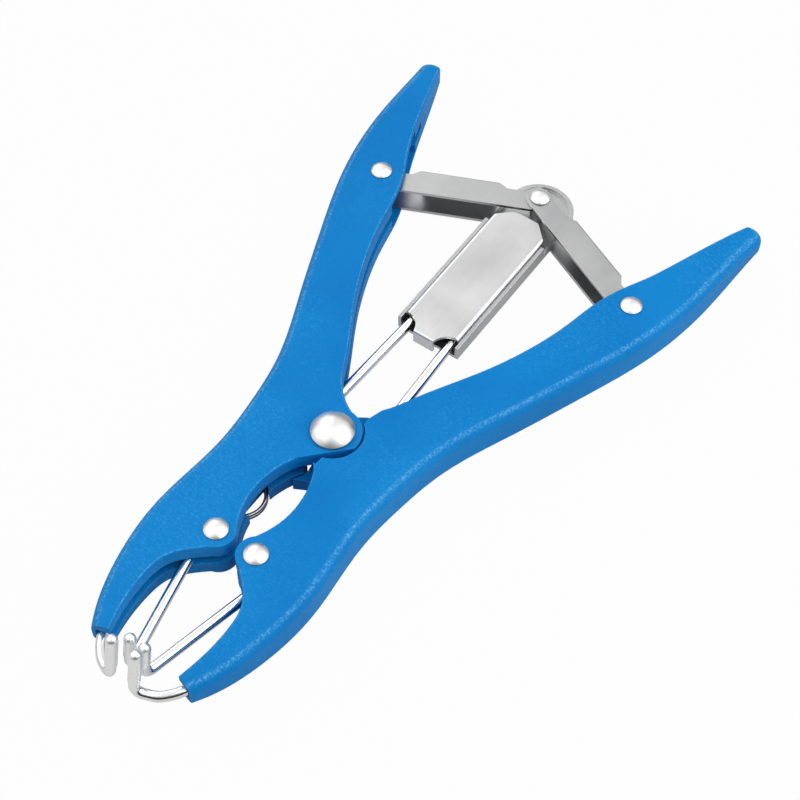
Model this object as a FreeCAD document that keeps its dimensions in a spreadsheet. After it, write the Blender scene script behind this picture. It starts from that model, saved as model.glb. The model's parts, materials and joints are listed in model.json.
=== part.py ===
import FreeCAD, Part
import math
import os
import Sketcher

# Elastrator pliers: two moulded levers that mirror each other apart from their lap on one
# pivot rivet, a toggle linkage that pulls a sliding carriage, and four upright prongs that
# stretch a rubber ring.
# Frame: origin on the pivot axis at the resting plane, +X towards the prongs, +Z up
# along the prongs, +Y towards the left lever. All lengths are millimetres.

V = FreeCAD.Vector

SIZES = {
    # lever layout
    "pivot_to_handle_rivet": 96.0,
    "handle_half_angle": 27.6,
    "pivot_to_jaw_rivet": 43.9,
    "jaw_rivet_angle": 8.9,
    "jaw_length": 84.0,
    "handle_tip_reach": 144.0,
    # lever section
    "lever_thickness": 13.5,
    "handle_tip_thickness": 7.2,
    "jaw_tip_thickness": 8.0,
    "outer_round": 3.0,
    "inner_round": 0.7,
    "lever_wall": 3.0,
    "jaw_tip_wall": 1.3,
    "slot_height": 3.6,
    "lobe_radius": 8.3,
    "lobe_gap": 0.7,
    "knuckle_radius": 5.65,
    # rivets
    "fit_clearance": 0.05,
    "axial_clearance": 0.1,
    "closing_head_height": 1.2,
    "pivot_shank_radius": 4.0,
    "pivot_head_radius": 6.3,
    "pivot_head_height": 3.5,
    "pivot_washer_thickness": 0.5,
    "bush_radius": 5.6,
    "handle_shank_radius": 1.9,
    "handle_head_radius": 3.2,
    "handle_head_height": 1.5,
    "jaw_shank_radius": 1.9,
    "jaw_head_radius": 3.5,
    "jaw_head_height": 1.7,
    "jaw_sleeve_radius": 2.65,
    "toggle_shank_radius": 1.9,
    "toggle_head_radius": 3.1,
    "toggle_head_height": 1.5,
    "toggle_closing_height": 0.9,
    "toggle_sleeve_radius": 2.9,
    # toggle links
    "sheet": 1.0,
    "toggle_run": 20.08,
    "link_height": 9.3,
    "link_stagger": 0.55,
    "link_front_edge": 4.2,
    "link_back_edge": 4.8,
    "link_neck_edge": 2.6,
    "link_web_setback": 13.6,
    "link_web_end": 12.0,
    "fold_radius": 0.9,
    "link_eye_radius": 5.0,
    "open_pivot_clearance": 1.8,
    # carriage
    "carriage_width": 21.0,
    "carriage_front": -46.0,
    "cover_clearance": 4.3,
    "cover_fold_radius": 1.5,
    "cover_wall_setback": 8.0,
    "tongue_overhang": 1.5,
    "eye_rim": 1.1,
    "tongue_half_width": 3.4,
    # rods and prongs
    "rod_radius": 1.5,
    "rod_leg_inset": 6.0,
    "rod_leg_offset": 6.8,
    "rod_gap": 0.3,
    "rod_bend_past_rivet": 2.6,
    "rod_bend_radius": 12.0,
    "prong_radius": 1.75,
    "prong_bend_radius": 2.6,
    "inner_prong_reach": 1.9,
    "inner_prong_offset": 2.4,
    "inner_prong_height": 12.8,
    "inner_prong_lean": 2.5,
    "front_prong_reach": 7.0,
    "front_prong_offset": 3.9,
    "front_prong_height": 16.0,
    "front_prong_lean": 3.6,
    "front_prong_shift": 0.7,
    # return spring
    "spring_wire_radius": 0.6,
    "spring_loop_radius": 6.8,
    "spring_loop_x": 26.6,
    "spring_loop_offset": 12.0,
    "spring_pitch": 1.25,
    "spring_turns": 2.08,
    "spring_leg_angle": 150.0,
    "spring_leg_length": 19.5,
    "spring_gap": 0.2,
}

DERIVED = {
    # the carriage fits between the flanges of the staggered links
    "carriage_height": "=link_height - 2 * sheet - 2 * link_stagger - 2 * axial_clearance",
    "flange_height": "=(lever_thickness - slot_height) / 2",
}

doc = FreeCAD.newDocument("ElastratorPliers")
sheet = doc.addObject("Spreadsheet::Sheet", "Sizes")
for row, (alias, value) in enumerate({**SIZES, **DERIVED}.items(), start=1):
    sheet.set("A%d" % row, alias)
    sheet.set("B%d" % row, str(value))
    sheet.setAlias("B%d" % row, alias)
doc.recompute()


def size(alias):
    return float(sheet.get(alias))


# Places that follow from the sizes
HALF = math.radians(size("handle_half_angle"))
HANDLE_RIVET = V(-size("pivot_to_handle_rivet") * math.cos(HALF),
                 size("pivot_to_handle_rivet") * math.sin(HALF), 0)
JAW_ANGLE = math.radians(size("jaw_rivet_angle"))
JAW_RIVET = V(size("pivot_to_jaw_rivet") * math.cos(JAW_ANGLE),
              size("pivot_to_jaw_rivet") * math.sin(JAW_ANGLE), 0)
TOGGLE_X = HANDLE_RIVET.x - size("toggle_run")
LINK_LENGTH = math.hypot(size("toggle_run"), HANDLE_RIVET.y)
LINK_ANGLE = math.degrees(math.atan2(HANDLE_RIVET.y, size("toggle_run")))
MID_PLANE = "Sizes.closing_head_height + Sizes.lever_thickness / 2"
MID_Z = size("closing_head_height") + size("lever_thickness") / 2
LEVER_TOP = size("closing_head_height") + size("lever_thickness")

SIDE_NAMES = {1: "left", -1: "right"}

# Lever edges: stations along the handle as (share, offset from the line through pivot and
# rivet), where share 1 is the rivet and TIP_SHARE the tip, and stations along the jaw as
# (share of the jaw length, offset)
TIP_SHARE = 1.5
HANDLE_OUTER = [(0.25, 20.0), (0.5, 17.4), (0.75, 15.2), (1.0, 12.1), (1.2, 6.6), (1.4, -1.5)]
HANDLE_OUTER_TIP = -5.3
HANDLE_INNER = [(1.4, -10.6), (1.2, -7.8), (1.1, -7.0), (1.0, -6.9), (0.9, -5.6), (0.8, -3.0),
                (0.65, -0.3), (0.5, 0.6), (0.25, 0.0)]
HANDLE_INNER_TIP = -12.0
JAW_OUTER = [(1.0, 16.8), (0.92, 20.2), (0.77, 24.0), (0.53, 26.3), (0.24, 24.6), (0.05, 25.8)]
JAW_MOUTH = [(0.625, 8.9), (0.69, 12.9), (0.77, 14.0), (0.88, 13.4), (0.98, 11.6)]

# Corners given as shares of the lobe radius: the end of the lobe's flat, and what the lower
# lobe has behind it, where the handles part, and in front of it, where the lens starts
LOBE_FLAT_END = (1.47, 0.30)
LOBE_HEEL = [(-1.855, 0.94), (-1.687, 0.217), (-1.458, -0.12), (-0.964, -0.253), (-0.72, 0.24),
             (-1.08, 0.72)]
LOBE_TOE = [(0.72, -0.24), (1.28, -0.15), (1.48, -0.19), (1.80, -0.38), (1.57, 0.06),
            (1.64, 0.45), (1.14, 0.30)]

# Front prong wire in the jaw: stations from the jaw into the mouth, and its bend radii
PRONG_WIRE = [(0.70, 19.4), (0.86, 17.0), (1.0, 13.9), (1.055, 9.6)]
PRONG_WIRE_BENDS = [25.0, 14.0, 7.0]

LENS_DEPTH = 6.3
TAPER_SHARE = 1.2
SLOT_END_SHARE = 1.27
TIP_BULGE = 2.2
NOTCH_SHARE = 0.37
LINK_RAMP = 1.4
PRONG_SWELL = 1.2
WALL_THINS_FROM = 0.77
LOOP_DEPTH = ("Sizes.spring_turns * Sizes.spring_pitch + 2 * Sizes.spring_wire_radius"
              " + 2 * Sizes.spring_gap")
LEG_DEPTH = "2 * Sizes.spring_wire_radius + 2 * Sizes.spring_gap"
FLANGE = "Sizes.flange_height"


def handle_point(share, offset):
    along = min(share, 1.0) * size("pivot_to_handle_rivet")
    if share > 1:
        beyond = size("handle_tip_reach") - size("pivot_to_handle_rivet")
        along += (share - 1) / (TIP_SHARE - 1) * beyond
    return V(-along * math.cos(HALF) + offset * math.sin(HALF),
             along * math.sin(HALF) + offset * math.cos(HALF), 0)


def jaw_point(share, offset):
    return V(share * size("jaw_length"), offset, 0)


def polar(radius, degrees, centre=V(0, 0, 0)):
    angle = math.radians(degrees)
    return centre + V(radius * math.cos(angle), radius * math.sin(angle), 0)


def spline(points):
    curve = Part.BSplineCurve()
    curve.interpolate(points)
    return curve


def line(start, end):
    return Part.LineSegment(start, end)


def polyline(points, closed=False):
    ends = points[1:] + points[:1] if closed else points[1:]
    return [line(start, end) for start, end in zip(points, ends)]


def arc(start, middle, end):
    return Part.Arc(start, middle, end)


# Document helpers
def new_body(label, height=MID_PLANE):
    body = doc.addObject("PartDesign::Body", label)
    body.Label = label
    body.setExpression("Placement.Base.z", height)
    return body


def new_sketch(body, name, curves, plane="XY_Plane", level=None):
    sketch = body.newObject("Sketcher::SketchObject", name)
    origin_plane = [item for item in body.Origin.OriginFeatures if item.Role == plane][0]
    sketch.AttachmentSupport = [(origin_plane, "")]
    sketch.MapMode = "FlatFace"
    if level is not None:
        sketch.setExpression("AttachmentOffset.Base.z", level)
    for curve in curves:
        sketch.addGeometry(curve)
    return sketch


def circle_sketch(body, name, centre, radius, level=None):
    circle = Part.Circle(centre, V(0, 0, 1), 1.0)
    sketch = new_sketch(body, name, [circle], level=level)
    index = sketch.addConstraint(Sketcher.Constraint("Radius", 0, 1.0))
    sketch.setExpression("Constraints[%d]" % index, radius)
    for kind, distance in (("DistanceX", centre.x), ("DistanceY", centre.y)):
        if abs(distance) > 1e-6:
            sketch.addConstraint(Sketcher.Constraint(kind, -1, 1, 0, 3, distance))
        else:
            sketch.addConstraint(Sketcher.Constraint("PointOnObject", 0, 3,
                                                     -2 if kind == "DistanceX" else -1))
    return sketch


def pad(body, name, sketch, length, symmetric=False):
    feature = body.newObject("PartDesign::Pad", name)
    feature.Profile = sketch
    feature.SideType = "Symmetric" if symmetric else "One side"
    feature.setExpression("Length", length)
    doc.recompute()
    return feature


def pocket(body, name, sketch, depth=None, symmetric=False):
    before = body.Shape.Volume
    feature = body.newObject("PartDesign::Pocket", name)
    feature.Profile = sketch
    feature.SideType = "Symmetric" if symmetric else "One side"
    if depth is None:
        feature.Type = "ThroughAll"
    else:
        feature.setExpression("Length", depth)
    doc.recompute()
    if body.Shape.Volume >= before:
        raise RuntimeError("%s cuts nothing from %s" % (name, body.Label))
    return feature


def round_edges(body, name, edges, radius):
    # rounds the given edges of the body's last feature
    base = body.Tip
    names = ["Edge%d" % number for number, edge in enumerate(base.Shape.Edges, start=1)
             if any(edge.isSame(other) for other in edges)]
    feature = body.newObject("PartDesign::Fillet", name)
    feature.Base = (base, names)
    feature.setExpression("Radius", radius)
    doc.recompute()
    return feature


def nearest_face(body, point):
    vertex = Part.Vertex(point)
    return min(body.Tip.Shape.Faces, key=lambda face: face.distToShape(vertex)[0])


def solid_feature(label, shape):
    feature = doc.addObject("Part::Feature", label)
    feature.Label = label
    feature.Shape = shape
    feature.Placement = FreeCAD.Placement(V(0, 0, MID_Z), FreeCAD.Rotation())
    return feature


# Bent round wire: straight runs joined by tangent arcs
def wire_edges(points, radii):
    edges = []
    start = points[0]
    for before, corner, after, radius in zip(points, points[1:], points[2:], radii):
        incoming = (before - corner).normalize()
        outgoing = (after - corner).normalize()
        half_turn = incoming.getAngle(outgoing) / 2
        setback = radius / math.tan(half_turn)
        centre = corner + (incoming + outgoing).normalize() * (radius / math.sin(half_turn))
        first = corner + incoming * setback
        last = corner + outgoing * setback
        middle = centre + (corner - centre).normalize() * radius
        edges.append(line(start, first).toShape())
        edges.append(arc(first, middle, last).toShape())
        start = last
    edges.append(line(start, points[-1]).toShape())
    return edges


def bent_wire(points, radii, radius):
    path = Part.Wire(wire_edges(points, radii))
    section = Part.Wire(Part.Circle(points[0], points[1] - points[0], radius).toShape())
    return path.makePipeShell([section], True, True)


def on_side(point, side):
    return V(point.x, point.y * side, point.z)


# Levers: mirrored by turning the right one over about the X axis
def handle_tip(offset):
    return handle_point(TIP_SHARE, offset)


def handle_tip_middle():
    middle = handle_tip((HANDLE_OUTER_TIP + HANDLE_INNER_TIP) / 2)
    return middle + V(-math.cos(HALF), math.sin(HALF), 0) * TIP_BULGE


def lobe_point(share_x, share_y):
    return V(share_x, share_y, 0) * size("lobe_radius")


def lever_outline():
    outer = [jaw_point(*station) for station in JAW_OUTER]
    outer += [handle_point(*station) for station in HANDLE_OUTER] + [handle_tip(HANDLE_OUTER_TIP)]
    lobe = size("lobe_radius")
    lobe_start = polar(lobe, 190)
    flat_start = polar(lobe, 277)
    neck = [polar(2.09 * lobe, 152.8), polar(1.43 * lobe, 160.5)]
    inner = [handle_tip(HANDLE_INNER_TIP)] + [handle_point(*station) for station in HANDLE_INNER]
    inner += neck + [lobe_start]
    knuckle = size("knuckle_radius")
    lens_start = lobe_point(*LOBE_FLAT_END)
    lens_end = polar(knuckle, 232, JAW_RIVET)
    lens_middle = V((lens_start.x + lens_end.x) / 2, LENS_DEPTH, 0)
    mouth = [polar(knuckle, -25, JAW_RIVET)] + [jaw_point(*station) for station in JAW_MOUTH]
    return [
        spline(outer),
        arc(outer[-1], handle_tip_middle(), inner[0]),
        spline(inner),
        arc(lobe_start, polar(lobe, 230), flat_start),
        line(flat_start, lens_start),
        arc(lens_start, lens_middle, lens_end),
        arc(lens_end, polar(knuckle, 283, JAW_RIVET), mouth[0]),
        spline(mouth),
        line(mouth[-1], outer[0]),
    ]


def taper_wedges(start_x, end_x, start_half, end_half):
    # what a tapered end loses above and below, bounded by arcs tangent to the flats
    curves = []
    beyond = start_half + 1.0
    drop = start_half - end_half
    run = abs(end_x - start_x)
    bend = (run ** 2 + drop ** 2) / (2 * drop)
    middle_drop = bend - math.sqrt(bend ** 2 - run ** 2 / 4)
    for side in (1, -1):
        start = V(start_x, side * start_half, 0)
        middle = V((start_x + end_x) / 2, side * (start_half - middle_drop), 0)
        end = V(end_x, side * end_half, 0)
        curves.append(arc(start, middle, end))
        curves += polyline([end, V(end_x, side * beyond, 0), V(start_x, side * beyond, 0), start])
    return curves


def cut_tapers(body):
    half = size("lever_thickness") / 2
    handle_start = handle_point(TAPER_SHARE, 0).x
    handle_end = handle_tip(HANDLE_OUTER_TIP).x - size("outer_round")
    wedges = taper_wedges(handle_start, handle_end, half, size("handle_tip_thickness") / 2)
    pocket(body, "handle_taper", new_sketch(body, "handle_taper_profile", wedges, "XZ_Plane"),
           symmetric=True)
    jaw_start = JAW_RIVET.x + 2 * size("jaw_head_radius")
    jaw_end = size("jaw_length") + size("outer_round")
    wedges = taper_wedges(jaw_start, jaw_end, half, size("jaw_tip_thickness") / 2)
    pocket(body, "jaw_taper", new_sketch(body, "jaw_taper_profile", wedges, "XZ_Plane"),
           symmetric=True)


def round_lever(body):
    def away_from_middle(edge):
        return abs(edge.CenterOfMass.z) > size("jaw_tip_thickness") / 4

    outer_face = nearest_face(body, handle_point(*HANDLE_OUTER[1]))
    outer_edges = [edge for edge in outer_face.Edges if away_from_middle(edge)]
    round_edges(body, "outer_round", outer_edges, "Sizes.outer_round")
    lens_middle = V((lobe_point(*LOBE_FLAT_END).x + JAW_RIVET.x) / 2, LENS_DEPTH, 0)
    inner_points = [handle_point(*HANDLE_INNER[3]), lens_middle, jaw_point(*JAW_MOUTH[2])]
    inner_faces = [nearest_face(body, point) for point in inner_points]
    inner_edges = [edge for face in inner_faces for edge in face.Edges if away_from_middle(edge)]
    tip_edges = nearest_face(body, handle_tip_middle()).Edges
    round_edges(body, "inner_round", inner_edges + tip_edges, "Sizes.inner_round")


def inner_wall_line(first_share, last_share):
    # the outer edge moved in by the wall, which thins towards the jaw tip
    points = []
    for share, offset in JAW_OUTER:
        thinning = max(0.0, (share - WALL_THINS_FROM) / (1 - WALL_THINS_FROM))
        wall = size("lever_wall") + thinning * (size("jaw_tip_wall") - size("lever_wall"))
        if share <= first_share:
            points.append(jaw_point(share, offset - wall))
    for share, offset in HANDLE_OUTER:
        if share <= last_share:
            points.append(handle_point(share, offset - size("lever_wall")))
    return points


def slot_region():
    # the plan area between the two flanges, open on the inner side from jaw tip to handle
    wall = inner_wall_line(1.0, 1.2)
    start = wall[0] + V(2, -0.9, 0)
    end = handle_point(SLOT_END_SHARE, HANDLE_OUTER[4][1] - 2 * size("lever_wall"))
    inside = -3 * size("lobe_radius")
    return [spline([start] + wall + [end])] + polyline(
        [end, handle_point(SLOT_END_SHARE, inside), V(0, inside, 0), V(start.x, inside, 0), start])


def link_pocket_region():
    # the taller part of the slot that takes both flanges of a link
    wall = [handle_point(share, offset - size("lever_wall"))
            for share, offset in ((0.87, 13.9), (1.0, 12.1), (1.1, 9.7), (1.2, 6.6))]
    inside = -3 * size("lobe_radius")
    return [spline(wall)] + polyline(
        [wall[-1], handle_point(1.2, inside), handle_point(0.87, inside), wall[0]])


def lap_region():
    # round recess for the other lever's lobe, with the corners beside it cleared
    recess = size("lobe_radius") + size("lobe_gap")
    start = polar(recess, 141)
    end = polar(recess, 18)
    below = -recess - 1
    front = lobe_point(1.36, 0.29)
    back = polar(1.8 * recess, 153.2)
    return [arc(start, polar(recess, 80), end)] + polyline(
        [end, front, V(front.x, below, 0), V(back.x - 1, below, 0), back,
         polar(1.23 * recess, 149), start])


def add_lower_lobe(body):
    # the lower lobe fills the corners between the levers behind and before the pivot
    for name, corners in (("heel", LOBE_HEEL), ("toe", LOBE_TOE)):
        outline = polyline([lobe_point(*corner) for corner in corners], closed=True)
        pad(body, name, new_sketch(body, name + "_outline", outline,
                                   level="-Sizes.lever_thickness / 2"), FLANGE)


def leg_ends(centre, side):
    # plan ends of the spring's leg, from its coil towards the pivot
    angle = side * (size("spring_leg_angle") + 90)
    start = polar(size("spring_loop_radius"), angle, centre)
    return start, polar(size("spring_leg_length"), side * size("spring_leg_angle"), start)


def cut_spring_seat(body):
    # round pocket for the coil and a groove for its leg, in the upper flange's inner face
    centre = V(size("spring_loop_x"), size("spring_loop_offset"), 0)
    circle = circle_sketch(body, "loop_circle", centre,
                           "Sizes.spring_loop_radius + Sizes.spring_wire_radius + Sizes.spring_gap",
                           level="Sizes.slot_height / 2 + " + LOOP_DEPTH)
    pocket(body, "loop_pocket", circle, LOOP_DEPTH)
    start, end = leg_ends(centre, -1)
    along = (end - start).normalize()
    across = V(-along.y, along.x, 0) * (size("spring_wire_radius") + size("spring_gap"))
    end = end + along * (size("spring_wire_radius") + size("spring_gap"))
    groove = polyline([start + across, end + across, end - across, start - across], closed=True)
    pocket(body, "leg_groove", new_sketch(body, "leg_groove_profile", groove,
                                          level="Sizes.slot_height / 2 + " + LEG_DEPTH),
           LEG_DEPTH)
    radius = size("spring_loop_radius") + size("spring_wire_radius") + size("spring_gap")
    rise = NOTCH_SHARE * radius
    half_chord = math.sqrt(radius ** 2 - rise ** 2)
    left = centre - V(half_chord, rise, 0)
    right = centre + V(half_chord, -rise, 0)
    notch = [arc(left, centre - V(0, radius, 0), right), line(right, left)]
    pocket(body, "loop_notch", new_sketch(body, "loop_notch_profile", notch,
                                          level="Sizes.lever_thickness / 2"), FLANGE)


def lever(label, side):
    body = new_body(label)
    if side < 0:
        body.Placement.Rotation = FreeCAD.Rotation(V(1, 0, 0), 180)
    pad(body, "moulding", new_sketch(body, "outline", lever_outline()),
        "Sizes.lever_thickness", symmetric=True)
    cut_tapers(body)
    round_lever(body)
    pocket(body, "lap", new_sketch(body, "lap_profile", lap_region(),
                                   level="Sizes.lever_thickness / 2"), FLANGE)
    pocket(body, "slot", new_sketch(body, "slot_profile", slot_region()),
           "Sizes.slot_height", symmetric=True)
    pocket(body, "link_pocket", new_sketch(body, "link_pocket_profile", link_pocket_region()),
           "Sizes.link_height + 2 * Sizes.link_stagger + 2 * Sizes.axial_clearance",
           symmetric=True)
    bores = (("pivot_bore", V(0, 0, 0), "Sizes.pivot_shank_radius"),
             ("handle_bore", HANDLE_RIVET, "Sizes.handle_shank_radius"),
             ("jaw_bore", JAW_RIVET, "Sizes.jaw_shank_radius"))
    for name, centre, radius in bores:
        circle = circle_sketch(body, name + "_circle", centre, radius + " + Sizes.fit_clearance")
        pocket(body, name, circle, symmetric=True)
    if side > 0:
        add_lower_lobe(body)
    else:
        cut_spring_seat(body)
    return body


# Rivets, washers and sleeves, turned about their own axis
def turned(label, centre, profile):
    body = doc.addObject("PartDesign::Body", label)
    body.Label = label
    body.Placement.Base = centre
    sketch = new_sketch(body, "profile", profile, plane="XZ_Plane")
    feature = body.newObject("PartDesign::Revolution", "turning")
    feature.Profile = sketch
    feature.ReferenceAxis = (sketch, ["V_Axis"])
    feature.Angle = 360
    doc.recompute()
    return body


def rivet(label, centre, kind, closing, grip, closing_radius):
    # closing head from closing[0] to closing[1], shank up to grip, domed head above it
    bottom, seat = closing
    shank = size(kind + "_shank_radius")
    head = size(kind + "_head_radius")
    height = size(kind + "_head_height")
    rim = height * 0.2
    dome = height - rim
    dome_radius = (head ** 2 + dome ** 2) / (2 * dome)
    half_angle = math.asin(min(1.0, head / dome_radius)) / 2
    crown = V(0, grip + height, 0)
    shoulder = V(head, grip + rim, 0)
    middle = V(dome_radius * math.sin(half_angle),
               crown.y - dome_radius * (1 - math.cos(half_angle)), 0)
    profile = polyline([crown, V(0, bottom, 0), V(closing_radius, bottom, 0),
                        V(closing_radius, seat, 0), V(shank, seat, 0), V(shank, grip, 0),
                        V(head, grip, 0), shoulder])
    return turned(label, centre, profile + [arc(shoulder, middle, crown)])


def ring(label, centre, inner, outer, bottom, top):
    profile = polyline([V(inner, bottom, 0), V(outer, bottom, 0), V(outer, top, 0),
                        V(inner, top, 0)], closed=True)
    return turned(label, centre, profile)


def pivot_parts():
    gap = size("axial_clearance")
    under = size("closing_head_height") - gap
    washer_bottom = under - size("pivot_washer_thickness")
    rivet("pivot_rivet", V(0, 0, 0), "pivot", (0, washer_bottom), LEVER_TOP + gap,
          size("pivot_head_radius") * 0.85)
    ring("pivot_washer", V(0, 0, 0), size("pivot_shank_radius"), size("pivot_head_radius"),
         washer_bottom, under)
    half_slot = size("slot_height") / 2 - gap
    ring("pivot_bush", V(0, 0, 0), size("pivot_shank_radius"), size("bush_radius"),
         MID_Z - half_slot, MID_Z + half_slot)


def lever_rivets(name, side):
    seat = size("closing_head_height")
    rivet(name + "_handle_rivet", on_side(HANDLE_RIVET, side), "handle", (0, seat), LEVER_TOP,
          size("handle_head_radius"))
    rivet(name + "_jaw_rivet", on_side(JAW_RIVET, side), "jaw", (0, seat), LEVER_TOP,
          size("jaw_head_radius"))
    half_slot = size("slot_height") / 2
    ring(name + "_jaw_sleeve", on_side(JAW_RIVET, side), size("jaw_shank_radius"),
         size("jaw_sleeve_radius"), MID_Z - half_slot, MID_Z + half_slot)


def toggle_parts():
    centre = V(TOGGLE_X, 0, 0)
    gap = size("axial_clearance")
    reach = size("link_height") / 2 + size("link_stagger") + gap
    bottom = MID_Z - reach - size("toggle_closing_height")
    rivet("toggle_rivet", centre, "toggle", (bottom, MID_Z - reach), MID_Z + reach,
          size("toggle_head_radius"))
    floor_top = MID_Z - size("carriage_height") / 2 + size("sheet")
    sleeve_top = MID_Z + size("carriage_height") / 2
    ring("toggle_sleeve", centre, size("toggle_shank_radius"), size("toggle_sleeve_radius"),
         floor_top, sleeve_top)


# Toggle links: U channels of sheet metal, web at the back, eyes at both ends.
# Local frame: origin on the toggle rivet, +X towards the handle rivet, +Y to the back.
def link_outline():
    length = LINK_LENGTH
    front = size("link_front_edge")
    back = size("link_back_edge")
    neck = size("link_neck_edge")
    eye = size("link_eye_radius")
    ramp = LINK_RAMP * (back - neck)
    web_start = size("link_web_setback")
    web_end = length - size("link_web_end")
    eye_back = V(length - math.sqrt(eye ** 2 - neck ** 2), neck, 0)
    eye_front = V(length - math.sqrt(eye ** 2 - front ** 2), -front, 0)
    back_edge = [polar(front, 142), V(web_start - ramp, neck, 0), V(web_start, back, 0),
                 V(web_end, back, 0), V(web_end + ramp, neck, 0), eye_back]
    return [
        arc(V(0, -front, 0), V(-front, 0, 0), back_edge[0]),
        *polyline(back_edge),
        arc(eye_back, V(length + eye, 0, 0), eye_front),
        line(eye_front, V(0, -front, 0)),
    ]


def link_hollow():
    # everything between the two flanges except the strip that stays as the web
    length = LINK_LENGTH
    web_back = size("link_back_edge") - size("sheet")
    web_start = size("link_web_setback")
    web_end = length - size("link_web_end")
    margin = size("link_eye_radius") + 1
    front = -size("link_front_edge") - 1
    outside = size("link_back_edge") + 1
    return polyline([V(-margin, front, 0), V(length + margin, front, 0),
                     V(length + margin, outside, 0), V(web_end, outside, 0),
                     V(web_end, web_back, 0), V(web_start, web_back, 0),
                     V(web_start, outside, 0), V(-margin, outside, 0)], closed=True)


def link(label, side):
    body = doc.addObject("PartDesign::Body", label)
    body.Label = label
    turn = FreeCAD.Rotation(V(0, 0, 1), side * LINK_ANGLE)
    if side < 0:
        turn = turn.multiply(FreeCAD.Rotation(V(1, 0, 0), 180))
    body.Placement = FreeCAD.Placement(V(TOGGLE_X, 0, 0), turn)
    stagger = " + Sizes.link_stagger" if side > 0 else " - Sizes.link_stagger"
    body.setExpression("Placement.Base.z", MID_PLANE + stagger)
    pad(body, "blank", new_sketch(body, "outline", link_outline()), "Sizes.link_height",
        symmetric=True)
    web_face = nearest_face(body, V(LINK_LENGTH / 2, size("link_back_edge"), 0))
    folds = [edge for edge in web_face.Edges
             if abs(edge.CenterOfMass.z) > size("link_height") / 4]
    round_edges(body, "fold", folds, "Sizes.fold_radius")
    pocket(body, "channel", new_sketch(body, "channel_profile", link_hollow()),
           "Sizes.link_height - 2 * Sizes.sheet", symmetric=True)
    toggle_hole = circle_sketch(body, "toggle_circle", V(0, 0, 0),
                                "Sizes.toggle_shank_radius + Sizes.fit_clearance")
    pocket(body, "toggle_hole", toggle_hole, symmetric=True)
    open_hole = circle_sketch(body, "open_pivot_circle", V(LINK_LENGTH, 0, 0),
                              "Sizes.handle_shank_radius + Sizes.open_pivot_clearance")
    pocket(body, "open_pivot_hole", open_hole, symmetric=True)
    return body


# Carriage: a cover nested in a tray that runs on under the toggle rivet as a rimmed eye
def stadium(half_width, front):
    tangent = V(TOGGLE_X, half_width, 0)
    return [
        line(V(front, -half_width, 0), V(TOGGLE_X, -half_width, 0)),
        arc(V(TOGGLE_X, -half_width, 0), V(TOGGLE_X - half_width, 0, 0), tangent),
        line(tangent, V(front, half_width, 0)),
        line(V(front, half_width, 0), V(front, -half_width, 0)),
    ]


def carriage_tray():
    body = new_body("carriage_tray")
    half_width = size("carriage_width") / 2
    front = size("carriage_front")
    bottom = "-Sizes.carriage_height / 2"
    pad(body, "blank", new_sketch(body, "outline", stadium(half_width, front), level=bottom),
        "Sizes.carriage_height - Sizes.sheet")
    hollow = stadium(half_width - size("sheet"), front + 1)
    pocket(body, "hollow", new_sketch(body, "hollow_profile", hollow,
                                      level="Sizes.carriage_height / 2 - Sizes.sheet"),
           "Sizes.carriage_height - 2 * Sizes.sheet")
    wall_end = TOGGLE_X + size("link_web_setback")
    beyond = TOGGLE_X - half_width - 1
    rim_cut = polyline([V(beyond, -half_width - 1, 0), V(wall_end, -half_width - 1, 0),
                        V(wall_end, half_width + 1, 0), V(beyond, half_width + 1, 0)], closed=True)
    pocket(body, "low_rim", new_sketch(body, "low_rim_profile", rim_cut,
                                       level="Sizes.carriage_height / 2 - Sizes.sheet"),
           "Sizes.carriage_height - 2 * Sizes.sheet - Sizes.eye_rim")
    hole = circle_sketch(body, "toggle_circle", V(TOGGLE_X, 0, 0), "Sizes.toggle_shank_radius")
    pocket(body, "toggle_hole", hole, symmetric=True)
    for side in (1, -1):
        leg = V(front - size("rod_leg_inset"), side * size("rod_leg_offset"), 0)
        circle = circle_sketch(body, "leg_circle_%s" % SIDE_NAMES[side], leg,
                               "Sizes.rod_radius + Sizes.fit_clearance")
        pocket(body, "leg_hole_%s" % SIDE_NAMES[side], circle, symmetric=True)
    return body


def cover_rear():
    return TOGGLE_X + size("toggle_sleeve_radius") + size("cover_clearance")


def cover_outline():
    half_width = size("carriage_width") / 2 - size("sheet") - size("fit_clearance")
    front = size("carriage_front") + size("sheet") + size("tongue_overhang")
    tongue = size("tongue_half_width")
    scallop = half_width - tongue - 0.8
    rear = cover_rear()
    chamfer = 0.55 * half_width
    right = [V(front, -tongue, 0), V(front - scallop * 0.9, -half_width, 0)]
    left = [V(front, tongue, 0), V(front - scallop * 0.9, half_width, 0)]
    right_middle = V(front - scallop * 0.72, -tongue - scallop * 0.42, 0)
    left_middle = V(front - scallop * 0.72, tongue + scallop * 0.42, 0)
    return [
        arc(right[0], right_middle, right[1]),
        line(right[1], V(rear + chamfer, -half_width, 0)),
        line(V(rear + chamfer, -half_width, 0), V(rear, -half_width + chamfer, 0)),
        line(V(rear, -half_width + chamfer, 0), V(rear, half_width - chamfer, 0)),
        line(V(rear, half_width - chamfer, 0), V(rear + chamfer, half_width, 0)),
        line(V(rear + chamfer, half_width, 0), left[1]),
        arc(left[1], left_middle, left[0]),
        line(left[0], right[0]),
    ]


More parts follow.
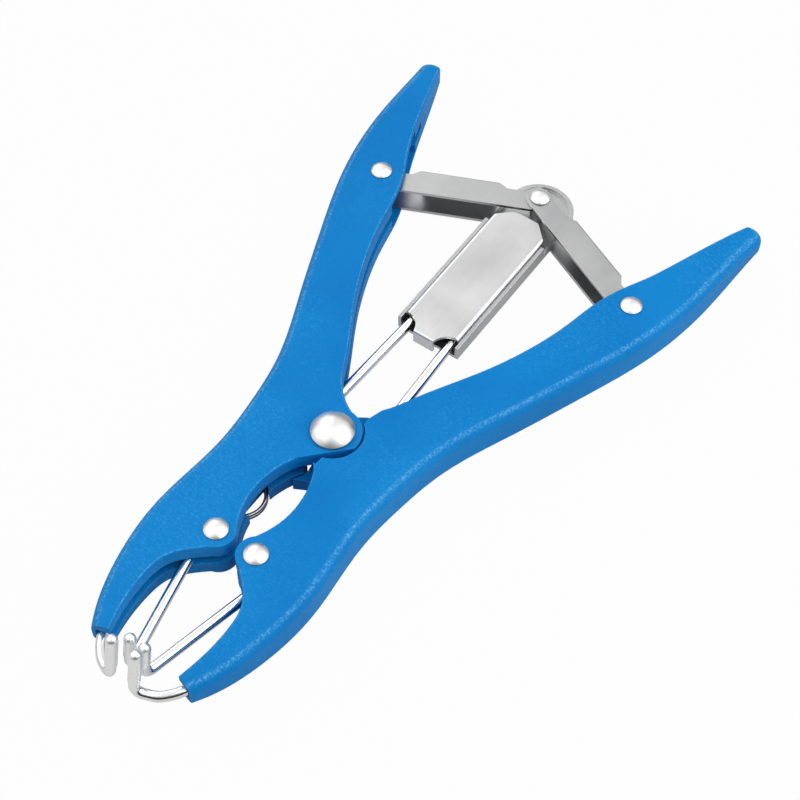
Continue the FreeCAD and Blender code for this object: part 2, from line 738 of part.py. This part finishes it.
def carriage_cover():
    body = new_body("carriage_cover")
    half_width = size("carriage_width") / 2 - size("sheet") - size("fit_clearance")
    front = size("carriage_front") + size("sheet") + size("tongue_overhang")
    rear = cover_rear()
    inner = half_width - size("sheet")
    tongue = size("tongue_half_width")
    floor = "-Sizes.carriage_height / 2 + Sizes.sheet + Sizes.fit_clearance"
    pad(body, "blank", new_sketch(body, "outline", cover_outline(), level=floor),
        "Sizes.carriage_height - Sizes.sheet - Sizes.fit_clearance")
    tongue_back = front - size("sheet")
    wall_front = tongue_back - size("cover_wall_setback")
    hollow = polyline([V(rear - 1, -inner, 0), V(wall_front, -inner, 0),
                       V(wall_front, -half_width - 1, 0), V(front + 1, -half_width - 1, 0),
                       V(front + 1, -tongue, 0), V(tongue_back, -tongue, 0),
                       V(tongue_back, tongue, 0), V(front + 1, tongue, 0),
                       V(front + 1, half_width + 1, 0), V(wall_front, half_width + 1, 0),
                       V(wall_front, inner, 0), V(rear - 1, inner, 0)], closed=True)
    pocket(body, "hollow", new_sketch(body, "hollow_profile", hollow,
                                      level="Sizes.carriage_height / 2 - Sizes.sheet"),
           "Sizes.carriage_height")
    below_top = size("carriage_height") / 2 - 0.1
    walls = [nearest_face(body, V((front + rear) / 2, side * half_width, 0)) for side in (1, -1)]
    bends = [edge for wall in walls for edge in wall.Edges if edge.CenterOfMass.z > below_top]
    round_edges(body, "bends", bends, "Sizes.cover_fold_radius")
    nose = nearest_face(body, V(front, 0, 0))
    nose_bend = [edge for edge in nose.Edges if edge.CenterOfMass.z > below_top]
    round_edges(body, "nose_bend", nose_bend, "Sizes.fold_radius")
    return body


# Round wires that end in a thicker upright prong with a domed top
def prong_piece(label, points, radii):
    foot, top = points[-2:]
    upwards = (top - foot).normalize()
    thick = size("prong_radius")
    crown = top - upwards * thick
    wire = bent_wire(points[:-1] + [crown], radii, size("rod_radius"))
    swell_start = foot + upwards * (size("prong_bend_radius") + PRONG_SWELL)
    thick_start = swell_start + upwards * PRONG_SWELL
    swell = Part.makeCone(size("rod_radius"), thick, PRONG_SWELL, swell_start, upwards)
    upright = Part.makeCylinder(thick, (crown - thick_start).Length, thick_start, upwards)
    dome = Part.makeSphere(thick, crown)
    return solid_feature(label, wire.fuse([swell, upright, dome]).removeSplitter())


# Rods from the carriage round the jaw rivets to the inner prongs
def rod(label, side):
    radius = size("rod_radius")
    leg = V(size("carriage_front") - size("rod_leg_inset"), size("rod_leg_offset"), 0)
    clear = size("jaw_sleeve_radius") + radius + size("rod_gap")
    bend = V(JAW_RIVET.x + size("rod_bend_past_rivet"), JAW_RIVET.y + clear, 0)
    foot = V(size("jaw_length") + size("inner_prong_reach"), size("inner_prong_offset"), 0)
    top = foot + V(-size("inner_prong_lean"), 0, size("inner_prong_height"))
    points = [leg - V(0, 0, size("carriage_height") / 2), leg, bend, foot, top]
    radii = [1.25 * radius, size("rod_bend_radius"), size("prong_bend_radius")]
    return prong_piece(label, [on_side(point, side) for point in points], radii)


def prong_wire(label, side):
    foot = V(size("jaw_length") + size("front_prong_reach"), size("front_prong_offset"), 0)
    top = foot + V(-size("front_prong_lean"), 0, size("front_prong_height"))
    points = [jaw_point(*station) for station in PRONG_WIRE] + [foot, top]
    points = [on_side(point, side) for point in points]
    for point in points[-2:]:
        point.y -= size("front_prong_shift")
    return prong_piece(label, points, PRONG_WIRE_BENDS + [size("prong_bend_radius")])


# Return spring: a coil seated in the right jaw's lower flange, with a leg to the other lobe
def return_spring():
    wire = size("spring_wire_radius")
    radius = size("spring_loop_radius")
    turns = size("spring_turns")
    centre = V(size("spring_loop_x"), -size("spring_loop_offset"), 0)
    top = -size("slot_height") / 2 - wire - size("spring_gap")
    bottom = top - turns * size("spring_pitch")
    coil_path = Part.makeHelix(size("spring_pitch"), top - bottom, radius, 0, True)
    top_angle = size("spring_leg_angle") + 90
    coil_path.rotate(V(0, 0, 0), V(0, 0, 1), top_angle + 360 * turns)
    coil_path.translate(centre + V(0, 0, bottom))
    foot = polar(radius, top_angle + 360 * turns, centre) + V(0, 0, bottom)
    outward = foot - centre - V(0, 0, bottom)
    section = Part.Wire(Part.Circle(foot, V(-outward.y, outward.x, 0), wire).toShape())
    coil = Part.Wire(coil_path).makePipeShell([section], True, True)
    start, end = leg_ends(centre, 1)
    start.z = end.z = top
    leg = Part.makeCylinder(wire, (end - start).Length, start, end - start)
    spring = coil.fuse([Part.makeSphere(wire, start), leg, Part.makeSphere(wire, end)])
    return solid_feature("return_spring", spring.removeSplitter())


pivot_parts()
left_lever = lever("left_lever", 1)
right_lever = lever("right_lever", -1)
for side, name in SIDE_NAMES.items():
    lever_rivets(name, side)
    link(name + "_link", side)
    rod(name + "_rod", side)
    prong_wire(name + "_prong_wire", side)
return_spring()
toggle_parts()
carriage_tray()
carriage_cover()

doc.recompute()
for item in doc.Objects:
    if "Invalid" in item.State or "Error" in item.State:
        raise RuntimeError("%s failed: %s" % (item.Name, item.State))
pieces = [item for item in doc.Objects
          if item.TypeId in ("PartDesign::Body", "Part::Feature")]
for piece in pieces:
    if piece.Shape.isNull() or not piece.Shape.isValid():
        raise RuntimeError("%s has no valid shape" % piece.Label)

os.makedirs("parts", exist_ok=True)
for piece in pieces:
    piece.Shape.exportStep("parts/%s.step" % piece.Label)
    print(piece.Label, len(piece.Shape.Solids), round(piece.Shape.Volume, 1))
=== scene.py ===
import json

import bpy
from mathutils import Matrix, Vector

# Elastrator pliers: materials, floor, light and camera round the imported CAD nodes, which
# keep their shapes and places. Lengths are metres, colours linear RGB and noise scales are
# cells per metre. Pairs are the two ends of a ramp, before it or after it, and a pair named
# relief, leather or waves is a bump's strength and depth.

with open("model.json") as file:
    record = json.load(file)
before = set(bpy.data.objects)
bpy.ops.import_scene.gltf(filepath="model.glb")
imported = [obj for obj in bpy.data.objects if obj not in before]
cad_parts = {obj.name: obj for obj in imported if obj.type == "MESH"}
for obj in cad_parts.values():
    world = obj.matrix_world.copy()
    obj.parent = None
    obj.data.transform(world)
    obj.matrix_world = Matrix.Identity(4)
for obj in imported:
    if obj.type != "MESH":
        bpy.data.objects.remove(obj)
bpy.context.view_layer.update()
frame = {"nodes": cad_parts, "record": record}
nodes = frame["nodes"]

MM = 0.001

# ---------------------------------------------------------------- looks of the materials
PLASTIC = {
    "dark": (0.002, 0.205, 0.590),
    "pale": (0.004, 0.240, 0.650),
    # painted sparkle: a paler blue on the wrinkle crests, in random patches
    "crest_sparkle": (0.030, 0.330, 0.750),
    # painted highlight, speckled, along the rounded shoulder
    "shoulder_highlight": (0.13, 0.47, 0.86),
    # painted highlight on sharp edges
    "edge": (0.03, 0.38, 0.82),
    "patch_scale": 30,
    "patch_range": (0.35, 0.65),
    "sparkle_patch_scale": 26,
    "sparkle_patch_range": (0.44, 0.62),
    "sparkle_patch_share": (0.15, 0.60),
    "grain_scale": 1500,
    "grain_roughness": 0.62,
    "wrinkle_scale": 1900,
    "wrinkle_stretch": (1.0, 0.45, 1.0),
    "wrinkle_distortion": 0.8,
    "crest_range": (0.48, 0.70),
    # the painted highlight along the shoulder: how far the surface faces up where it starts at
    # the flat and ends
    "shoulder_flat": (0.985, 0.945),
    "shoulder_side": (0.66, 0.88),
    "highlight_speckle_range": (0.46, 0.62),
    "shoulder_highlight_share": (0.05, 0.75),
    "edge_radius": 0.4 * MM,
    "edge_highlight_share": 0.5,
    "wrinkle_share": 0.7,
    "leather": (0.34, 0.07 * MM),
    "waves": (0.12, 0.25 * MM),
    "wave_scale": 150,
    "corner_radius": 0.22 * MM,
    "gloss_range": (0.3, 0.7),
    "roughness": (0.38, 0.54),
    "reflection": 0.10,
}
SHEET = {
    "line_scale": 900,
    "line_stretch": (0.04, 1.0, 1.0),
    "line_range": (0.35, 0.65),
    "line_share": 0.06,
    "line_colour": (0.40, 0.40, 0.41),
    "line_relief": (0.05, 0.02 * MM),
    "cloud_scale": 60,
    "cloud_range": (0.3, 0.7),
    "cut_radius": 0.25 * MM,
    "edge_glint_share": 0.6,
    # painted highlight on sharp edges
    "edge_glint_colour": (0.92, 0.92, 0.91),
    "corner_radius": 0.2 * MM,
    "gloss_range": (0.25, 0.75),
    "roughness": (0.27, 0.36),
}
SHEET_TONES = {
    "sheet_steel": ((0.52, 0.525, 0.53), (0.62, 0.62, 0.62)),
    "cover_steel": ((0.68, 0.68, 0.68), (0.82, 0.82, 0.82)),
}
WIRE = {
    "run_colour": (0.86, 0.86, 0.87),
    "prong_colour": (0.97, 0.97, 0.96),
    # heights between which the lying wire turns into the upright prong
    "prong_start": (8.6 * MM, 10.6 * MM),
    "dimple_scale": 1300,
    "dimple_relief": (0.55, 0.14 * MM),
    "streak_scale": 500,
    "streak_stretch": (0.05, 1.0, 1.0),
    "gloss_range": (0.3, 0.7),
    "run_roughness": (0.05, 0.10),
    "prong_roughness": (0.30, 0.46),
}
RIVET = {
    "bright": (0.95, 0.95, 0.95),
    "mottled": (0.84, 0.84, 0.84),
    # painted shade and dark reflection round the rim of the domes
    "rim": (0.46, 0.47, 0.48),
    "mottle_scale": 420,
    "mottle_range": (0.35, 0.7),
    "mottle_relief": (0.30, 0.12 * MM),
    # how far the dome faces up where the painted dark rim (painted shade and dark reflection)
    # starts and is full, give or take
    "rim_slope": (0.74, 0.54),
    "rim_raggedness": 0.10,
    "corner_radius": 0.2 * MM,
    "gloss_range": (0.3, 0.7),
    "roughness": (0.32, 0.44),
}
SPRING = {
    "dark": (0.30, 0.30, 0.31),
    "pale": (0.45, 0.44, 0.44),
    "mark_scale": 1400,
    "mark_range": (0.3, 0.7),
    "mark_relief": (0.1, 0.03 * MM),
    "roughness": (0.16, 0.26),
}
BEVEL_SAMPLES = 6
# how far the bevelled normal agrees with the true one, on a flat and on a sharp edge
EDGE_AGREEMENT = (0.999, 0.93)

# ---------------------------------------------------------------- floor, light and camera
FLOOR_HALF = 1.5
FLOOR_ALBEDO = 0.60
FLOOR_WHITE_FOR_CAMERA = 0.97
FLOOR_WHITE_FOR_METAL = 0.28

# The dome's brightness against the height of the direction: (height range), (brightness)
DOME_FOR_PLASTIC = ((0.12, 0.55), (0.03, 0.45))
DOME_FOR_METAL = ((0.12, 0.42), (0.02, 0.82))
# What metal mirrors also darkens away from this direction, as from a flag by the camera
BRIGHT_SIDE = (-0.38, -0.28, 0.88)
BRIGHT_SIDE_FOR_METAL = ((0.15, 0.62), (0.04, 0.82))

LAMP_TARGET = (-0.02, 0.0, 0.0)
# name: place, diameter, power in watts, seen in the metal
LAMPS = {
    "key": ((-0.22, 0.52, 0.66), 1.1, 4.1, True),
    "fill": ((0.32, -0.46, 0.52), 1.25, 2.5, True),
    "back": ((-0.45, -0.60, 0.40), 0.6, 0.9, True),
    "side": ((0.12, 0.80, 0.30), 0.5, 1.1, False),
}

CAMERA_PLACE = (0.23888, 0.19275, 0.47579)
CAMERA_TARGET = (-0.02385, 0.0059, 0.0067)
CAMERA_LENS = 90.0
CAMERA_SENSOR = 36.0
CAMERA_CLIP = (0.01, 20.0)


# ---------------------------------------------------------------- node helpers
class Graph:
    """Adds and links the shader nodes of one material or of the world."""

    def __init__(self, owner, output, coords):
        self.owner = owner
        owner.use_nodes = True
        self.tree = owner.node_tree
        self.tree.nodes.clear()
        self.output = self.add(output)
        self.coords = self.add("ShaderNodeTexCoord").outputs[coords]

    def add(self, kind, **settings):
        node = self.tree.nodes.new(kind)
        for name, value in settings.items():
            setattr(node, name, value)
        return node

    def link(self, source, target):
        self.tree.links.new(source, target)

    def put(self, node, socket, value):
        if isinstance(value, bpy.types.NodeSocket):
            self.link(value, node.inputs[socket])
        else:
            node.inputs[socket].default_value = value

    def surface(self, shader):
        self.link(shader.outputs[0], self.output.inputs["Surface"])

    def principled(self, **sockets):
        node = self.add("ShaderNodeBsdfPrincipled")
        for name, value in sockets.items():
            self.put(node, name.replace("_", " "), value)
        self.surface(node)

    def stretched(self, scale):
        node = self.add("ShaderNodeMapping")
        node.inputs["Scale"].default_value = scale
        self.link(self.coords, node.inputs["Vector"])
        return node.outputs[0]

    def noise(self, scale, detail=3.0, roughness=0.5, vector=None, distortion=0.0):
        node = self.add("ShaderNodeTexNoise")
        node.inputs["Scale"].default_value = scale
        node.inputs["Detail"].default_value = detail
        node.inputs["Roughness"].default_value = roughness
        node.inputs["Distortion"].default_value = distortion
        self.link(vector or self.coords, node.inputs["Vector"])
        return node.outputs[0]

    def ramp(self, value, given, wanted=(0.0, 1.0)):
        """The value's given range spread over the wanted one, and held at its ends."""
        node = self.add("ShaderNodeMapRange", clamp=True)
        self.link(value, node.inputs["Value"])
        for socket, number in zip(("From Min", "From Max", "To Min", "To Max"),
                                  (*given, *wanted)):
            node.inputs[socket].default_value = number
        return node.outputs[0]

    def math(self, operation, first, second):
        node = self.add("ShaderNodeMath", operation=operation)
        self.put(node, 0, first)
        self.put(node, 1, second)
        return node.outputs[0]

    def times(self, first, second):
        return self.math("MULTIPLY", first, second)

    def mix_values(self, factor, first, second):
        node = self.add("ShaderNodeMix")
        for index, value in ((0, factor), (2, first), (3, second)):
            self.link(value, node.inputs[index])
        return node.outputs[0]

    def mix(self, factor, first, second):
        """Mix of two colours, each an RGB triple or a socket."""
        node = self.add("ShaderNodeMix", data_type="RGBA", blend_type="MIX")
        self.put(node, 0, factor)
        for index, value in ((6, first), (7, second)):
            if isinstance(value, bpy.types.NodeSocket):
                self.link(value, node.inputs[index])
            else:
                node.inputs[index].default_value = (*value, 1.0)
        return node.outputs[2]

    def bump(self, height, relief, normal=None):
        """Normal with a relief, which is given as (strength, depth)."""
        node = self.add("ShaderNodeBump")
        node.inputs["Strength"].default_value, node.inputs["Distance"].default_value = relief
        self.link(height, node.inputs["Height"])
        if normal is not None:
            self.link(normal, node.inputs["Normal"])
        return node.outputs[0]

    def bevel(self, radius):
        node = self.add("ShaderNodeBevel", samples=BEVEL_SAMPLES)
        node.inputs["Radius"].default_value = radius
        return node.outputs[0]

    def normal(self):
        return self.add("ShaderNodeNewGeometry").outputs["Normal"]

    def dot(self, first, second):
        node = self.add("ShaderNodeVectorMath", operation="DOT_PRODUCT")
        self.put(node, 0, first)
        self.put(node, 1, second)
        return node.outputs["Value"]

    def upwards(self, vector):
        """The Z part of a vector."""
        node = self.add("ShaderNodeSeparateXYZ")
        self.link(vector, node.inputs[0])
        return node.outputs[2]

    def edges(self, radius):
        """1 on sharp edges and 0 on flats, from how far the bevelled normal leans."""
        return self.ramp(self.dot(self.bevel(radius), self.normal()), EDGE_AGREEMENT)


def material_graph(name):
    return Graph(bpy.data.materials.new(name), "ShaderNodeOutputMaterial", "Object")


# ---------------------------------------------------------------- materials
def lever_plastic():
    """Mid-blue moulded plastic with a fine leathery grain, painted sparkle on the grain's crests
    and a painted highlight along the rounded shoulder and on sharp edges.
    """
    g, look = material_graph("lever_plastic"), PLASTIC
    patches = g.ramp(g.noise(look["patch_scale"]), look["patch_range"])
    colour = g.mix(patches, look["dark"], look["pale"])

    grain = g.noise(look["grain_scale"], roughness=look["grain_roughness"])
    wrinkles = g.noise(look["wrinkle_scale"], detail=2, distortion=look["wrinkle_distortion"],
                       vector=g.stretched(look["wrinkle_stretch"]))
    # painted sparkle: the wrinkle crests are painted paler in random patches
    sparkle_patches = g.ramp(g.ramp(g.noise(look["sparkle_patch_scale"]), look["sparkle_patch_range"]), (0.0, 1.0),
                  look["sparkle_patch_share"])
    painted_sparkle = g.times(g.ramp(wrinkles, look["crest_range"]), sparkle_patches)
    colour = g.mix(painted_sparkle, colour, look["crest_sparkle"])

    turn = g.upwards(g.normal())
    # painted highlight: a speckled paler band where the top rounds over into the side
    shoulder = g.times(g.ramp(turn, look["shoulder_flat"]), g.ramp(turn, look["shoulder_side"]))
    shoulder_highlight = g.times(shoulder, g.ramp(grain, look["highlight_speckle_range"], look["shoulder_highlight_share"]))
    colour = g.mix(shoulder_highlight, colour, look["shoulder_highlight"])
    # painted highlight: a paler blue on sharp edges
    edges = g.times(g.edges(look["edge_radius"]), look["edge_highlight_share"])
    colour = g.mix(edges, colour, look["edge"])

    leather = g.math("ADD", g.times(wrinkles, look["wrinkle_share"]), grain)
    normal = g.bump(leather, look["leather"], g.bevel(look["corner_radius"]))
    normal = g.bump(g.noise(look["wave_scale"], detail=2), look["waves"], normal)
    g.principled(Base_Color=colour, Normal=normal, Specular_IOR_Level=look["reflection"],
                 Roughness=g.ramp(grain, look["gloss_range"], look["roughness"]))
    return g.owner


def sheet_steel(name):
    """Satin stainless sheet with faint rolling lines and a painted highlight on its sharp edges.
    """
    g, look = material_graph(name), SHEET
    lines = g.noise(look["line_scale"], detail=2, vector=g.stretched(look["line_stretch"]))
    clouds = g.noise(look["cloud_scale"])
    base = g.mix(g.ramp(clouds, look["cloud_range"]), *SHEET_TONES[name])
    rolled = g.times(g.ramp(lines, look["line_range"]), look["line_share"])
    base = g.mix(rolled, base, look["line_colour"])
    # painted highlight: sharp edges are painted near white
    edge_glint = g.times(g.edges(look["cut_radius"]), look["edge_glint_share"])
    base = g.mix(edge_glint, base, look["edge_glint_colour"])
    g.principled(Base_Color=base, Metallic=1.0,
                 Roughness=g.ramp(clouds, look["gloss_range"], look["roughness"]),
                 Normal=g.bump(lines, look["line_relief"], g.bevel(look["corner_radius"])))
    return g.owner


def rod_chrome():
    """Bright plated wire; the upright prongs have a satin, lightly dimpled finish."""
    g, look = material_graph("rod_chrome"), WIRE
    upright = g.ramp(g.upwards(g.coords), look["prong_start"])
    dimples = g.noise(look["dimple_scale"], detail=2)
    streaks = g.noise(look["streak_scale"], detail=1, vector=g.stretched(look["streak_stretch"]))
    plain = g.ramp(streaks, look["gloss_range"], look["run_roughness"])
    satin = g.ramp(dimples, look["gloss_range"], look["prong_roughness"])
    g.principled(Base_Color=g.mix(upright, look["run_colour"], look["prong_colour"]),
                 Metallic=1.0, Roughness=g.mix_values(upright, plain, satin),
                 Normal=g.bump(g.times(dimples, upright), look["dimple_relief"]))
    return g.owner


def rivet_steel():
    """Bright nickel-plated rivet heads, mottled by the setting tool, with a painted dark rim of
    shade and dark reflection where the dome leans away.
    """
    g, look = material_graph("rivet_steel"), RIVET
    mottle = g.noise(look["mottle_scale"])
    base = g.mix(g.ramp(mottle, look["mottle_range"]), look["bright"], look["mottled"])
    ragged = look["rim_raggedness"]
    lean = g.math("ADD", g.upwards(g.normal()),
                  g.ramp(mottle, look["gloss_range"], (-ragged, ragged)))
    # painted shade: the colour darkens towards the rim as the dome leans away from up
    base = g.mix(g.ramp(lean, look["rim_slope"]), base, look["rim"])
    g.principled(Base_Color=base, Metallic=1.0,
                 Roughness=g.ramp(mottle, look["gloss_range"], look["roughness"]),
                 Normal=g.bump(mottle, look["mottle_relief"], g.bevel(look["corner_radius"])))
    return g.owner


def spring_steel():
    """Darker drawn spring wire with fine draw marks."""
    g, look = material_graph("spring_steel"), SPRING
    marks = g.noise(look["mark_scale"], detail=2)
    g.principled(Base_Color=g.mix(g.ramp(marks, look["mark_range"]), look["dark"], look["pale"]),
                 Metallic=1.0, Roughness=g.ramp(marks, look["mark_range"], look["roughness"]),
                 Normal=g.bump(marks, look["mark_relief"]))
    return g.owner


def dress_nodes():
    slots = {
        "lever_plastic": lever_plastic(),
        "sheet_steel": sheet_steel("sheet_steel"),
        "rod_chrome": rod_chrome(),
        "rivet_steel": rivet_steel(),
        "spring_steel": spring_steel(),
    }
    brighter = {"carriage_cover": sheet_steel("cover_steel")}
    for part in frame["record"]["subparts"]:
        mesh = nodes[part["node"]].data
        mesh.materials.clear()
        mesh.materials.append(brighter.get(part["node"], slots[part["material_slot"]]))
        for polygon in mesh.polygons:
            polygon.material_index = 0


# ---------------------------------------------------------------- floor, lights and camera
def white_floor():
    """Matt floor, white to the camera and partly to the metal, that keeps a soft shadow."""
    g = material_graph("floor_white")
    diffuse = g.add("ShaderNodeBsdfDiffuse")
    diffuse.inputs["Color"].default_value = (FLOOR_ALBEDO, FLOOR_ALBEDO, FLOOR_ALBEDO, 1.0)
    white = g.add("ShaderNodeEmission")
    white.inputs["Color"].default_value = (1.0, 1.0, 1.0, 1.0)
    white.inputs["Strength"].default_value = 1.0
    rays = g.add("ShaderNodeLightPath").outputs
    by_camera = g.times(rays["Is Camera Ray"], FLOOR_WHITE_FOR_CAMERA)
    by_metal = g.times(g.math("MAXIMUM", rays["Is Glossy Ray"], rays["Is Transmission Ray"]),
                       FLOOR_WHITE_FOR_METAL)
    mix = g.add("ShaderNodeMixShader")
    g.link(g.math("MAXIMUM", by_camera, by_metal), mix.inputs[0])
    g.link(diffuse.outputs[0], mix.inputs[1])
    g.link(white.outputs[0], mix.inputs[2])
    g.surface(mix)
    return g.owner


def make_floor():
    half = FLOOR_HALF
    mesh = bpy.data.meshes.new("floor")
    mesh.from_pydata([(-half, -half, 0), (half, -half, 0), (half, half, 0), (-half, half, 0)],
                     [], [(0, 1, 2, 3)])
    mesh.materials.append(white_floor())
    floor = bpy.data.objects.new("floor", mesh)
    bpy.context.scene.collection.objects.link(floor)


def place_aimed(item, place, target):
    """Adds a lamp or camera to the scene, looking from its place at the target."""
    bpy.context.scene.collection.objects.link(item)
    item.location = place
    item.rotation_mode = "QUATERNION"
    item.rotation_quaternion = (Vector(target) - Vector(place)).to_track_quat("-Z", "Y")


def make_lamps():
    for name, (place, diameter, power, seen_in_metal) in LAMPS.items():
        lamp = bpy.data.lights.new(name, "AREA")
        lamp.shape = "DISK"
        lamp.size = diameter
        lamp.energy = power
        item = bpy.data.objects.new(name, lamp)
        place_aimed(item, place, LAMP_TARGET)
        item.visible_glossy = seen_in_metal


def make_world():
    """Soft pale dome; what the metal mirrors is pale overhead and dark near the horizon."""
    world = bpy.data.worlds.new("studio")
    bpy.context.scene.world = world
    g = Graph(world, "ShaderNodeOutputWorld", "Generated")
    height = g.upwards(g.coords)
    mirrored = g.math("MINIMUM", g.ramp(height, *DOME_FOR_METAL),
                      g.ramp(g.dot(g.coords, BRIGHT_SIDE), *BRIGHT_SIDE_FOR_METAL))
    by_metal = g.add("ShaderNodeLightPath").outputs["Is Glossy Ray"]
    background = g.add("ShaderNodeBackground")
    g.link(g.mix_values(by_metal, g.ramp(height, *DOME_FOR_PLASTIC), mirrored),
           background.inputs["Color"])
    g.surface(background)


def make_camera():
    lens = bpy.data.cameras.new("photo_camera")
    lens.lens = CAMERA_LENS
    lens.sensor_width = CAMERA_SENSOR
    lens.clip_start, lens.clip_end = CAMERA_CLIP
    camera = bpy.data.objects.new("photo_camera", lens)
    place_aimed(camera, CAMERA_PLACE, CAMERA_TARGET)
    bpy.context.scene.camera = camera


dress_nodes()
make_world()
make_floor()
make_lamps()
make_camera()
bpy.context.scene.view_settings.view_transform = "Standard"
